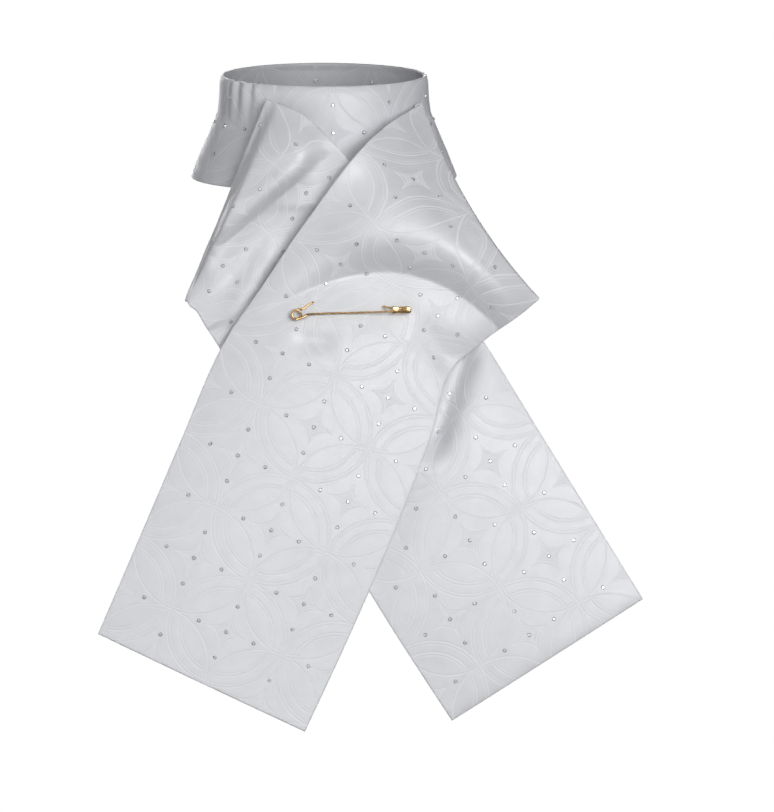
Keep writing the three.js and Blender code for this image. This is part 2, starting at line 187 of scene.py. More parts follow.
class Shader:
    def __init__(self, name):
        self.material = bpy.data.materials.new(name)
        self.material.use_nodes = True
        self.tree = self.material.node_tree
        self.tree.nodes.clear()

    def node(self, kind, settings, inputs, output=0):
        made = self.tree.nodes.new(kind)
        for key, value in settings.items():
            setattr(made, key, value)
        for key, value in inputs.items():
            if isinstance(value, Signal):
                self.tree.links.new(value.socket, made.inputs[key])
            else:
                made.inputs[key].default_value = value
        return Signal(self, made.outputs[output]) if made.outputs else None

    def mix(self, amount, a, b):
        # Blends two colours
        inputs = {0: amount, 6: a, 7: b}
        return self.node("ShaderNodeMix", {"data_type": "RGBA"}, inputs, 2)

    def ramp(self, value, fromMin, fromMax, toMin=0.0, toMax=1.0):
        # A smooth step from one range to another
        inputs = {"Value": value, "From Min": fromMin, "From Max": fromMax}
        inputs |= {"To Min": toMin, "To Max": toMax}
        return self.node("ShaderNodeMapRange", {"interpolation_type": "SMOOTHSTEP"}, inputs)

    def noise(self, place, scale, detail=3.0):
        inputs = {"Vector": place, "Scale": scale, "Detail": detail, "Roughness": 0.55}
        return self.node("ShaderNodeTexNoise", {}, inputs)

    def bump(self, height, distance, strength):
        inputs = {"Height": height, "Distance": distance, "Strength": strength}
        return self.node("ShaderNodeBump", {}, inputs)

    def finish(self, settings, inputs):
        surface = self.node("ShaderNodeBsdfPrincipled", settings, inputs)
        self.node("ShaderNodeOutputMaterial", {}, {"Surface": surface})
        return self.material


jacquard = {
    "pitchAcross": 17.05,  # a quarter of the pattern's repeat across the cloth
    "pitchAlong": 16.3,  # and along it
    "ringRadius": 0.7071,  # in steps of the lattice, so that rings meet in points
    "lineHalfWidth": 0.0115,
    "pairGap": 0.038,  # between a ring's outline and its companion line
    "ringWidth": 0.142,  # from a ring's outline to its inner line
    "squares": (0.34, 0.225, 0.135),  # sizes of the nested squares
    "ground": (0.80, 0.81, 0.835),
    "threadShare": 1.085,  # the lines' colour as a share of the ground's
    "cloudShare": 0.957,  # and the clouds'
    "groundRoughness": 0.5,
    "threadRoughness": 0.8,
}


def ringLines(shader, u, v):
    # Rings of two kinds stand on a square lattice turned by 45 degrees, like a chessboard. Lines lie
    # where the distance to the nearest ring's centre equals a radius. 1 on a line, 0 beside it.
    width = jacquard["lineHalfWidth"]
    radius = jacquard["ringRadius"]
    pair = radius - jacquard["pairGap"]
    inner = radius - jacquard["ringWidth"]
    p, q = u + v, u - v
    cellP, cellQ = p.math("ROUND"), q.math("ROUND")
    x, y = abs(p - cellP), abs(q - cellQ)
    odd = (cellP + cellQ).math("FLOORED_MODULO", 2.0)
    big, small = x.math("MAXIMUM", y), x.math("MINIMUM", y)

    def distance(a, b):
        return (a * a + b * b).math("SQRT")

    def line(value, at, wide=1.0):
        return shader.ramp(abs(value - at), 1.25 * width * wide, 0.45 * width * wide)

    own, near = distance(x, y), distance(1 - big, small)
    first = own + (near - own) * odd  # distance to the nearest ring of the first kind
    second = near + (own - near) * odd
    inSecond = shader.ramp(second, 0.665, 0.645)
    atKnot = shader.ramp(distance(0.5 - x, 0.5 - y), 0.27, 0.2)
    total = line(first, radius)
    for part in (
        line(second, radius),
        line(first, pair, 0.8) * 0.6,
        line(second, pair, 0.8) * atKnot * 0.6,
        line(first, inner) * inSecond,
        line(first, inner - jacquard["pairGap"], 0.8) * inSecond * 0.6,
    ):
        total = total.math("MAXIMUM", part)
    for size in jacquard["squares"]:
        side = line(distance(big - size, small), size * radius)
        inside = shader.ramp(big, 0.505 * size, 0.485 * size)
        total = total.math("MAXIMUM", side * inside)
    return total


def satinMaterial(name, tint):
    shader = Shader(name)
    shares = (1, jacquard["threadShare"], jacquard["cloudShare"])
    plain, thread, cloud = ([c * share for c in tint] + [1] for share in shares)
    place = shader.node("ShaderNodeUVMap", {"uv_map": "cloth"}, {})
    u = shader.node("ShaderNodeSeparateXYZ", {}, {"Vector": place}, 0)
    v = shader.node("ShaderNodeSeparateXYZ", {}, {"Vector": place}, 1)
    lines = ringLines(shader, u, v)
    clouds = shader.noise(place, 5.0)
    slubs = shader.noise(place, 60.0, 2.0)
    ground = shader.mix(shader.ramp(clouds, 0.35, 0.7), plain, cloud)
    colour = shader.mix(lines * 0.75, ground, thread)
    colour = shader.mix(shader.ramp(slubs, 0.55, 0.8) * 0.25, colour, thread)
    smooth = jacquard["groundRoughness"]
    rough = lines * (jacquard["threadRoughness"] - smooth) + smooth
    rough = rough + (slubs - 0.5) * 0.12
    twill = ((u + v) * 780.0).math("SINE")
    height = lines * -0.5 + twill * 0.06 + slubs * 0.3 + clouds * 0.5
    normal = shader.bump(height, 0.0004, 0.55)
    inputs = {
        "Base Color": colour,
        "Metallic": 0.12 - lines * 0.12,
        "Roughness": rough,
        "Normal": normal,
        "Specular IOR Level": 0.55,
    }
    return shader.finish({}, inputs)


def crystalMaterial():
    # Each facet carries its own painted reflection: a dark or bright base colour that stands in for the
    # dark surroundings and the glints that a cut stone mirrors
    shader = Shader("crystal")
    shade = shader.node("ShaderNodeAttribute", {"attribute_name": "facetPaintedReflection"}, {}, 2)
    colour = shader.mix(shade, (0.06, 0.06, 0.07, 1), (0.95, 0.97, 1, 1))
    rough = shader.ramp(shade, 0.0, 1.0, 0.08, 0.2)
    return shader.finish({}, {"Base Color": colour, "Metallic": 0.3, "Roughness": rough})


def goldMaterial(name, colour, roughness):
    shader = Shader(name)
    place = shader.node("ShaderNodeTexCoord", {}, {}, 3)
    wear = shader.noise(place, 900.0)
    deep = tuple(0.72 * c for c in colour[:3]) + (1,)
    inputs = {
        "Base Color": shader.mix(shader.ramp(wear, 0.3, 0.75), deep, colour),
        "Metallic": 1.0,
        "Roughness": wear * 0.16 + (roughness - 0.08),
        "Normal": shader.bump(wear, 0.00004, 0.4),
    }
    return shader.finish({}, inputs)


# The band's satin is the tails' cloth tinted darker: painted shade where the band lies back behind the
# tails
bandSatinPaintedShade = satinMaterial("band satin", (0.73, 0.74, 0.77))
# A still darker copy of the same satin for the band's inner side: painted shade inside the neckband
bandInsidePaintedShade = satinMaterial("band satin inside painted shade", (0.5, 0.505, 0.525))
tailSatin = satinMaterial("tail satin", jacquard["ground"])
crystal = crystalMaterial()
goldWire = goldMaterial("gold wire", (0.80, 0.50, 0.22, 1), 0.22)
goldSheet = goldMaterial("gold sheet", (0.86, 0.56, 0.26, 1), 0.2)
print("materials made")


# The neckband
neckband = {
    "height": 60,
    "wall": 2,
    "tip": math.radians(4),  # it sits lower in front
    "profile": [
        # drop below the top edge, half width, half depth
        [0, 60, 50.5],
        [4, 61, 52.2],
        [14, 61.5, 53],
        [22, 62.5, 53.5],
        [32, 66.5, 54.5],
        [46, 72.5, 58],
        [60, 78, 63],
    ],
    "gathers": {"from": 196, "to": 238, "count": 4, "rise": 0.8, "reach": 26},
    "diamondAround": 5,  # where the pattern starts, from the middle of the front
    "diamondDrop": 27,
    "columns": 420,
    "rows": 56,
}


def bandHalves(drop):
    # Half width and half depth of the band's outer face at a drop below its top edge
    profile = np.array(neckband["profile"], float)
    return [np.interp(drop, profile[:, 0], profile[:, k]) for k in (1, 2)]


def bandPoints(angle, drop):
    # Flared oval rows, with sine waves at the gathers that fade downwards; the middle of the wall
    gathers = neckband["gathers"]
    span = gathers["to"] - gathers["from"]
    across = (np.degrees(angle) % 360 - gathers["from"]) / span
    wave = np.sin(2 * math.pi * gathers["count"] * across) * fadeInOut(across, 0.3)
    rise = gathers["rise"] * wave * np.maximum(0, 1 - drop / gathers["reach"]) - neckband["wall"] / 2
    halfWidth, halfDepth = bandHalves(drop)
    x = (halfWidth + rise) * np.cos(angle)
    y = (halfDepth + rise) * np.sin(angle)
    z = neckband["height"] / 2 - drop + y * math.tan(neckband["tip"])
    return np.stack([x, y, z], -1)


def bandFront(x, z, clearance):
    # How far forward a layer has to be to lie a clearance off the band, which ends below
    edgeRoom = 8
    drop = neckband["height"] / 2 - z - 4
    below = np.maximum(0, drop - neckband["height"] - edgeRoom)
    halfWidth, halfDepth = bandHalves(drop)
    share = 1 - (x / (halfWidth + clearance - below)) ** 2
    return (halfDepth + clearance - 1.5 * below) * np.sqrt(np.maximum(share, 0))


def patternPlace(across, along):
    # Cloth coordinates in repeats of the pattern
    repeats = (across / (4 * jacquard["pitchAcross"]), along / (4 * jacquard["pitchAlong"]))
    return np.stack(np.broadcast_arrays(*repeats), -1)


def makeNeckband():
    # The band's points as a closed wall, with its pattern measured along the row at mid height
    rim = neckband["wall"] / 2
    drops = crowdedEdges(neckband["height"], rim, neckband["rows"])
    turned = np.linspace(0, 2 * math.pi, neckband["columns"], endpoint=False)
    angle, drop = np.meshgrid(math.pi / 2 - turned, drops)  # starts and ends in the middle of the back
    points = bandPoints(angle, drop)
    edge = np.minimum(drops, neckband["height"] - drops)
    half = rim * np.sqrt(1 - (1 - np.minimum(edge, rim) / rim) ** 2)
    halfWall = np.repeat(np.round(half, 9)[:, None], len(turned), 1)
    steps = np.linalg.norm(np.roll(points[len(drops) // 2], -1, 0) - points[len(drops) // 2], axis=-1)
    around = np.concatenate([[0], np.cumsum(steps)[:-1]])
    front = np.interp(math.pi, turned, around)
    repeat = 4 * jacquard["pitchAcross"]
    loop = round(steps.sum() / repeat)  # a whole number of repeats goes round
    across = (around - front) * loop * repeat / steps.sum() + neckband["diamondAround"]
    along = neckband["diamondDrop"] - drops
    repeats = patternPlace(across[None, :], along[:, None])
    # The inner side takes the darker copy, which paints shade inside the band
    made = clothObject("neckband_cloth", points, halfWall, repeats, bandSatinPaintedShade, loop, bandInsidePaintedShade)
    normals = gridNormals(points, True)
    return made, {"points": points, "across": across, "along": along, "normals": normals}


bandCloth, bandGrid = makeNeckband()
print("neckband made")

# The two tails. Sections run from the fold line to the hem: the edge that shows in the V (in), the
# other edge (out), the bow of the section, and four distances towards the viewer from in to out.
# Folds rise, or below zero sink, along a line seen from the front. Their columns are from (x, z),
# to (x, z), bow, rise, reach above the line, reach below it, 1 for a tuck, and length of the ends.
overTail = {
    "wall": 1.8,
    "foldRadius": 1.6,
    "sections": [
        [56.5, 15.0, 125.6, -96.4, 6.4, 28, 56, 73, 75],
        [35.7, 4.0, 121.0, -100.0, 2.9, 63, 68, 78, 75],
        [15.2, -15.1, 113.5, -105.9, 0, 84, 79, 84, 76],
        [-14.0, -55.4, 85.4, -126.9, 0, 77, 81, 86, 79],
        [-36.3, -88.7, 71.4, -142.8, 0, 80, 92, 95, 89],
        [-60.8, -125.5, 62.0, -177.5, 0, 86, 98, 100, 96],
        [-84.2, -179.2, 39.2, -236.1, 0, 94, 103, 105, 102],
        [-107.6, -233.8, 14.6, -292.6, 0, 99, 106, 107, 104],
        [-132.2, -290.8, -11.1, -347.9, 0, 102, 107, 108, 106],
    ],
    "folds": [
        [-50, -95, 140, -140, 62, 19, 34, 25, 1, 72],
        [52, -100, 80, -146, 0, -2.5, 7, 7, 0, 18],
        [-22, -119, 12, -121, 0, -2.5, 6, 6, 0, 14],
        [30, -100, 110, -126, 0, 3, 14, 12, 0, 28],
    ],
    "back": {"from": (53, 14), "fromFront": 32, "to": (90.7, -103), "toFront": 54},
    "foldStart": 0.01,  # in rows of sections from the fold line, where the folds reach full height
    "hemCurl": 0,
    "diamond": (67.4, 98.6),  # the middle of a diamond, across from the in edge and along from the hem
    "skew": 0.045,  # the pattern climbs a little towards the out edge
    "slack": [[16, 85, 118, 232, 262], [-9, 22, 40, 292, 330]],
    "facing": -1,
}
underTail = {
    "wall": 1.8,
    "foldRadius": 1.6,
    "sections": [
        [-32.3, 19.3, -80.0, -98.6, 0, 54, 58, 58, 62],
        [-11.1, 10.3, -78.4, -101.3, 0, 64, 63, 61, 64],
        [15.2, -15.5, -74.3, -104.6, 0, 74, 68, 64, 66],
        [38.6, -47.2, -69.0, -113.2, 0, 69, 67, 68, 70],
        [62.0, -78.7, -60.8, -125.4, 0, 68, 72, 76, 77],
        [93.0, -120.9, -21.1, -189.5, 0, 72, 83, 86, 86],
        [124.0, -170.1, 9.9, -239.4, 0, 84, 91, 92, 92],
        [155.6, -221.0, 41.5, -290.7, 0, 90, 95, 97, 96],
        [186.6, -271.0, 74.9, -342.1, 0, 93, 97, 98, 97],
    ],
    "folds": [
        [-80, -65, 2, 5, 0, 16, 26, 13, 1, 24],
        [-76, -94, -2, -12, 8, 5.5, 6, 9, 0, 20],
        [-58, -112, -24, -58, 0, 3, 7, 7, 0, 20],
        [88, -112, 58, -196, 0, -8.5, 9, 10, 0, 26],
    ],
    "back": {"from": (-30, 16), "fromFront": 50, "to": (-39.8, -107.6), "toFront": 54},
    "foldStart": 0.35,
    "hemCurl": 1,
    "diamond": (67.4, 83.6),
    "skew": 0,
    "slack": [[12, 30, 60, 250, 300], [10, 100, 120, 250, 270]],
    "facing": 1,
}
tails = {
    "width": 133,
    "bandClearance": 2.9,
    "layerGap": 0.6,
    "hemCurlReach": 8,
    "rowLength": 62,  # of the last row of sections
    "columns": 96,
    "backRows": 44,
    "turnRows": 12,
    "frontRows": 230,
}


def foldRise(folds, x, z):
    # Each fold follows a bent line. Above the line it is a bell curve, and below it either a bell curve
    # too or, in a tuck, a parabola that ends in a crease. It fades out at its line's ends.
    total = np.zeros_like(x)
    for fromX, fromZ, toX, toZ, bow, rise, above, below, tuck, ends in folds:
        dx, dz = toX - fromX, toZ - fromZ
        length = math.hypot(dx, dz)
        along = ((x - fromX) * dx + (z - fromZ) * dz) / length**2
        aside = ((z - fromZ) * dx - (x - fromX) * dz) / length
        off = aside - bow * 4 * along * (1 - along)
        bell = np.exp(-((off / np.where(off > 0, above, below)) ** 2))
        parabola = smoothMax(1 - (off / below) ** 2, 0, 0.06)
        shape = np.where((off < 0) & (tuck > 0), parabola, bell)
        total += rise * shape * fadeInOut(along, ends / length)
    return total


def acrossFour(values, u):
    # The cubic through four values at even steps of u
    t = 3 * u
    weights = [
        -((t - 1) * (t - 2) * (t - 3)) / 6,
        (t * (t - 2) * (t - 3)) / 2,
        -(t * (t - 1) * (t - 3)) / 2,
        (t * (t - 1) * (t - 2)) / 6,
    ]
    return sum(weight * value for weight, value in zip(weights, values))


def frontLayer(tail, u, at):
    # Straight across each section with a bow, as far forward as the drape and its folds say, or as
    # the band beneath needs
    read = readSmooth(np.array(tail["sections"], float), at)[:, :, None]
    inX, inZ, outX, outZ = read[:, 0], read[:, 1], read[:, 2], read[:, 3]
    bow = read[:, 4] * 4 * u * (1 - u) / np.hypot(outX - inX, outZ - inZ)
    x = inX + u * (outX - inX) + bow * (outZ - inZ)
    z = inZ + u * (outZ - inZ) - bow * (outX - inX)
    started = softStep(at / tail["foldStart"])[:, None]
    drape = acrossFour([read[:, k] for k in (5, 6, 7, 8)], u) + started * foldRise(tail["folds"], x, z)
    clearance = tails["bandClearance"] + 2 * tail["foldRadius"] + tails["layerGap"]
    last = len(tail["sections"]) - 1
    hemShare = np.maximum(0, 1 - (last - at) * tails["rowLength"] / tails["hemCurlReach"])
    front = smoothMax(drape, bandFront(x, z, clearance), 3) - tail["hemCurl"] * hemShare[:, None] ** 2
    return np.stack([x, -front, z], -1)


def evenRows(tail, count):
    # Row numbers that lie evenly along the middle of the front layer, with the hem's rim steps
    last = len(tail["sections"]) - 1
    fine = np.linspace(0, last, 900)
    middle = frontLayer(tail, np.array([[0.2, 0.5, 0.8]]), fine)
    step = np.linalg.norm(np.diff(middle, axis=0), axis=-1).mean(1)
    travelled = np.concatenate([[0], np.cumsum(step)])
    rim = rimSteps(tail["wall"] / 2)[::-1]
    even = np.linspace(0, travelled[-1] - rim[0], count + 1)[:-1]
    return np.interp(np.concatenate([even, travelled[-1] - rim]), travelled, fine)


def tailRows(tail):
    # From the free edge behind the fold line, round the fold in a half circle, and down to the hem
    across = crowdedEdges(tails["width"], tail["wall"] / 2, tails["columns"])
    u = (across / tails["width"])[None, :]
    front = frontLayer(tail, u, evenRows(tail, tails["frontRows"]))
    here = front[0]
    side = np.gradient(here, axis=0)
    down = frontLayer(tail, u, np.array([0.05]))[0] - here
    forward = unit(np.cross(side, down))
    forward *= np.where(forward[:, 1:2] > 0, -1, 1)
    outward = unit(np.cross(side, forward))
    outward *= np.where((outward * down).sum(-1, keepdims=True) > 0, -1, 1)
    radius = tail["foldRadius"]
    back = tail["back"]
    frees = []
    for k in (0, 1):
        frees.append(back["from"][k] + u[0] * (back["to"][k] - back["from"][k]))
    depth = back["fromFront"] + u[0] * (back["toFront"] - back["fromFront"])
    free = np.stack([frees[0], -depth, frees[1]], -1)
    start = here - 2 * radius * forward
    reach = np.linalg.norm(start - free, axis=-1).mean()
    rim = rimSteps(tail["wall"] / 2)
    share = np.concatenate([rim, np.linspace(rim[-1], reach, tails["backRows"])[1:-1]]) / reach
    hidden = free + share[:, None, None] * (start - free)
    nearest = bandFront(hidden[..., 0], hidden[..., 2], tails["bandClearance"])
    hidden[..., 1] = -smoothMax(-hidden[..., 1], nearest, 1)
    turn = math.pi * (1 - np.arange(tails["turnRows"]) / tails["turnRows"])[:, None, None]
    folded = here + radius * (np.sin(turn) * outward - (1 - np.cos(turn)) * forward)
    return across, np.concatenate([hidden, folded, front])


def makeTail(name, tail, material):
    # A strip's points as a closed wall. The pattern is measured up from the hem along each column, and
    # slack adds a smooth step to it where folds take up cloth.
    across, points = tailRows(tail)
    steps = np.linalg.norm(np.diff(points, axis=0), axis=-1)
    fromHem = np.concatenate([np.cumsum(steps[::-1], 0)[::-1], np.zeros((1, len(across)))])
    fromFree = fromHem[:1] - fromHem
    rim = tail["wall"] / 2
    fromSides = np.minimum(across, tails["width"] - across)[None, :]
    edge = np.minimum(fromSides, np.minimum(fromHem, fromFree))
    half = rim * np.sqrt(1 - (1 - np.minimum(edge, rim) / rim) ** 2)
    halfWall = np.where(edge < 1e-6, 0, half)
    alongCloth = fromHem + tail["skew"] * (tails["width"] / 2 - across)
    for amount, acrossFrom, acrossTo, alongFrom, alongTo in tail["slack"]:
        there = softStep((across - acrossFrom) / (acrossTo - acrossFrom))
        upThere = softStep((fromHem - alongFrom) / (alongTo - alongFrom))
        alongCloth = alongCloth + amount * there * upThere
    repeats = patternPlace(across[None, :] - tail["diamond"][0], alongCloth - tail["diamond"][1])
    made = clothObject(name, points, halfWall, repeats, material)
    normals = tail["facing"] * gridNormals(points)
    face = points + normals * halfWall[..., None]
    return made, {"across": across, "along": alongCloth, "face": face, "normals": normals}


overCloth, overGrid = makeTail("over_tail_cloth", overTail, tailSatin)
underCloth, underGrid = makeTail("under_tail_cloth", underTail, tailSatin)
print("tails made")


# Flat-backed crystals, glued on where the pattern's lattice has them
stones = {
    "radius": 1.25,
    "sides": 8,
    "rings": [
        # share of the radius, height, turn in sides: base, girdle, crown, table
        (1.0, -0.2, 0),
        (1.0, 0.12, 0),
        (0.8, 0.5, 0.5),
        (0.55, 0.76, 0),
    ],
    "edgeRoom": 6.5,
    "closest": 4,  # a stone needs this much room before the next layer of cloth
    "facingShare": 0.6,  # none stands where a tail turns further away from the front
    # the share of facets painted dark, standing in for reflected dark surroundings
    "darkReflectionShare": 0.36,
    "seed": 11,
}


def stonePlaces(acrossFrom, acrossTo, alongFrom, alongTo):
    # Every second point of a square lattice, and one more in the middle of each diamond
    count = 40
    m, n = np.meshgrid(np.arange(-count, count + 1), np.arange(-count, count + 1))
    onLattice = (m + n) % 2 == 1
    inDiamond = (m % 2 == 0) & (n % 2 == 0) & ((m + n) % 4 == 0)
    across, along = m * jacquard["pitchAcross"], n * jacquard["pitchAlong"]
    inside = (across > acrossFrom) & (across < acrossTo) & (along > alongFrom) & (along < alongTo)
    keep = (onLattice | inDiamond) & inside
    return np.stack([across[keep], along[keep]], -1)


def onGrid(grid, rows, place):
    # Finds cloth coordinates on a grid of points: the column first, then the row where along fits
    column = np.interp(place[0], grid["across"], np.arange(len(grid["across"])))
    c = min(int(column), len(grid["across"]) - 2)
    share = column - c
    along = grid["along"][rows]
    line = along[:, c] * (1 - share) + along[:, c + 1] * share
    row = np.interp(place[1], line[::-1], np.arange(len(line))[::-1])
    if not line[-1] < place[1] < line[0]:
        return None
    r = min(int(row), len(line) - 2)
    down = row - r
    corners = grid["face"][rows][r : r + 2, c : c + 2]
    sides = grid["normals"][rows][r : r + 2, c : c + 2]
    weights = np.outer([1 - down, down], [1 - share, share])
    point = (corners * weights[..., None]).sum((0, 1))
    return point, unit((sides * weights[..., None]).sum((0, 1)))


def hasRoom(point, normal, others):
    # Whether a ray from the stone meets no other layer of cloth within the room it needs
    start = Vector((point + normal * 0.3) * mm)
    for tree in others:
        hit = tree.ray_cast(start, Vector(normal), stones["closest"] * mm)
        if hit[0] is not None:
            return False
    return True


def stoneObject(name, spots, seed):
    # One faceted stone's corners, turned and moved to all the spots at once
    sides, random = stones["sides"], np.random.default_rng(seed)
    ring = np.arange(sides)
    corners = []
    for share, height, turn in stones["rings"]:
        angle = 2 * math.pi * (ring + turn) / sides
        radius = share * stones["radius"]
        flat = [radius * np.cos(angle), radius * np.sin(angle)]
        corners.append(np.stack([*flat, 0 * angle + height], -1))
    corners = np.concatenate(corners)
    after = (ring + 1) % sides
    base, girdle, crown, table = (ring + k * sides for k in range(4))
    faces = [base[::-1].tolist(), table.tolist()]
    faces += np.stack([base, base[after], girdle[after], girdle], -1).tolist()
    faces += np.stack([girdle, girdle[after], crown], -1).tolist()
    faces += np.stack([girdle[after], crown[after], crown], -1).tolist()
    faces += np.stack([crown, crown[after], table[after]], -1).tolist()
    faces += np.stack([crown, table[after], table], -1).tolist()
    points = np.array([point for point, _ in spots])
    up = np.array([normal for _, normal in spots])
    side = unit(np.cross(up, (0.0, 1.0, 0.25)))
    spin = random.uniform(0, math.pi, len(spots))[:, None]
    side = side * np.cos(spin) + np.cross(up, side) * np.sin(spin)
    frames = np.stack([side, np.cross(up, side), up], -2)
    vertices = (corners @ frames + points[:, None]).reshape(-1, 3)
    allFaces = [[k + i * len(corners) for k in face] for i in range(len(spots)) for face in faces]
    made = newObject(name, vertices, allFaces, crystal, False)
    # Painted reflections: each facet's base colour is bright or, for a share, dark, and the tables are
    # painted bright as glints
    shade = random.uniform(0.45, 1, len(allFaces))
    dark = random.uniform(0, 1, len(allFaces)) < stones["darkReflectionShare"]
    shade[dark] *= 0.12
    shade[1 :: len(faces)] = 0.9  # the tables
    made.data.attributes.new("facetPaintedReflection", "FLOAT", "FACE").data.foreach_set("value", shade)
    return made


def treeOf(made):
    # A search tree of an object's faces
    vertices = [v.co for v in made.data.vertices]
    return BVHTree.FromPolygons(vertices, [list(f.vertices) for f in made.data.polygons])


def clearOfPin(point):
    # Whether a stone stands clear of the pin's bar, coil and hood
    share = (point[0] - pin["coil"][0]) / (pin["barEnd"][0] - pin["coil"][0])
    bar = pin["coil"][1] + share * (pin["barEnd"][1] - pin["coil"][1])
    beside = point[0] < pin["coil"][0] - 6 or point[0] > pin["barEnd"][0] + 5
    return beside or not -3.4 < point[2] - bar < 7.5


def tailSpots(tail, grid, others, allowed):
    # Where stones stand on a tail's front layer
    rows = slice(tails["backRows"] + tails["turnRows"] + 3, None)
    room = stones["edgeRoom"]
    centre, length = tail["diamond"]
    places = stonePlaces(room - centre, tails["width"] - room - centre, room - length, 420 - length)
    found = []
    for place in places + (centre, length):
        spot = onGrid(grid, rows, place)
        if spot is None or -spot[1][1] < stones["facingShare"]:
            continue
        if allowed(spot[0]) and hasRoom(*spot, others):
            found.append(spot)
    return found


def bandSpots(others):
    # Outside all round, and inside across the back, where the opening shows it
    room = stones["edgeRoom"]
    found = []
    across, along = bandGrid["across"], bandGrid["along"]
    places = stonePlaces(across[0], across[-1], along[-1] + room, along[0] - room)
    rows = slice(None)
    for side in (1, -1):
        grid = {"across": across, "along": np.repeat(along[:, None], len(across), 1)}
        grid["normals"] = side * bandGrid["normals"]
        grid["face"] = bandGrid["points"] + grid["normals"] * neckband["wall"] / 2
        for place in places:
            spot = onGrid(grid, rows, place)
            if spot is not None and (side == 1 or spot[0][1] > 8) and hasRoom(*spot, others):
                found.append(spot)
    return found


# The pin: a bar, a spring coil and a needle of one wire, and the hood that holds the point
pin = {
    "front": 94.1,
    "wireRadius": 0.55,
    "coil": (-15.8, -104),
    "coilRadius": 2.7,
    "coilTurns": 2,
    "coilPitch": 1.25,
    "coilFront": 1.6,  # how far its first turn stands before the bar
    "coilSteps": 12,
    "barEnd": (49.5, -102.1),
    "needleTip": (48, -100.4),
    "needleBehind": 86.2,
    "hood": {"from": 40.2, "to": 51.2, "height": 4.3, "depth": 2.3, "wall": 0.35, "z": -101.3},
    "stepsBetween": 6,
    "sides": 14,
}


def pinRoute():
    # The bar, then the coil as a helix about the viewing direction, then the needle
    coilX, coilZ = pin["coil"]
    behind = pin["needleBehind"] - pin["front"]
    rows = [(*pin["barEnd"], 0), (20, -102.9, 0), (-7.5, -103.8, 0), (-10.5, -105, 0)]
    turns = np.arange(pin["coilTurns"] * pin["coilSteps"] + pin["coilSteps"] // 2 + 1) / pin["coilSteps"]
    angle = -math.pi / 2 - 2 * math.pi * turns
    x = coilX + pin["coilRadius"] * np.cos(angle)
    z = coilZ + pin["coilRadius"] * np.sin(angle)
    rows += np.stack([x, z, pin["coilFront"] - pin["coilPitch"] * turns], -1).tolist()
    rows += [(-11.8, -100.6, -2.8), (-9, -98.8, -3.4), (-6.5, -97.3, -4.2), (-3, -96.8, behind)]
    rows += [(32, -99.3, behind), (35, -99.7, -3), (38.3, -100.1, -0.5)]
    rows += [(pin["hood"]["from"], -100.3, 0), (*pin["needleTip"], 0)]
    route = np.array(rows, float)
    return np.stack([route[:, 0], -(pin["front"] + route[:, 2]), route[:, 1]], -1)


def tubeObject(name, route, radii, sides, material):
    # Rings about each point of the route, square to its direction, with a point at both ends
    forward = unit(np.gradient(route, axis=0))
    side = unit(np.cross(forward, (0.0, 1.0, 0.0)))
    up = np.cross(side, forward)
    angle = (2 * math.pi * np.arange(sides) / sides)[None, :, None]
    spokes = np.cos(angle) * side[:, None] + np.sin(angle) * up[:, None]
    rings = route[:, None] + radii[:, None, None] * spokes
    ends = np.stack([route[0], route[-1]])
    vertices = np.concatenate([rings.reshape(-1, 3), ends])
    number = np.arange(len(route) * sides).reshape(len(route), sides)
    number = np.concatenate([number, number[:, :1]], 1)
    faces = np.stack([number[:-1, :-1], number[1:, :-1], number[1:, 1:], number[:-1, 1:]], -1)
    first, last = len(vertices) - 2, len(vertices) - 1
    caps = [[first, int(a), int(b)] for a, b in zip(number[0, :-1], number[0, 1:])]
    caps += [[last, int(b), int(a)] for a, b in zip(number[-1, :-1], number[-1, 1:])]
    return newObject(name, vertices, faces.reshape(-1, 4).tolist() + caps, material)


def makePinWire():
    # A tube along the smoothed route, thinner towards the needle's point and rounded at the bar's end
    route = pinRoute()
    at = np.linspace(0, len(route) - 1, (len(route) - 1) * pin["stepsBetween"] + 1)
    fine = readSmooth(route, at)
    fromStart = np.concatenate([[0], np.cumsum(np.linalg.norm(np.diff(fine, axis=0), axis=-1))])
    fromTip = fromStart[-1] - fromStart
    radius = pin["wireRadius"] * np.minimum(1, 0.12 + fromTip / 9)  # the needle tapers to its point
    radius = radius * np.sqrt(np.clip(fromStart / 0.4, 0.05, 1))
    return tubeObject("pin_wire_round", fine, radius, pin["sides"], goldWire)


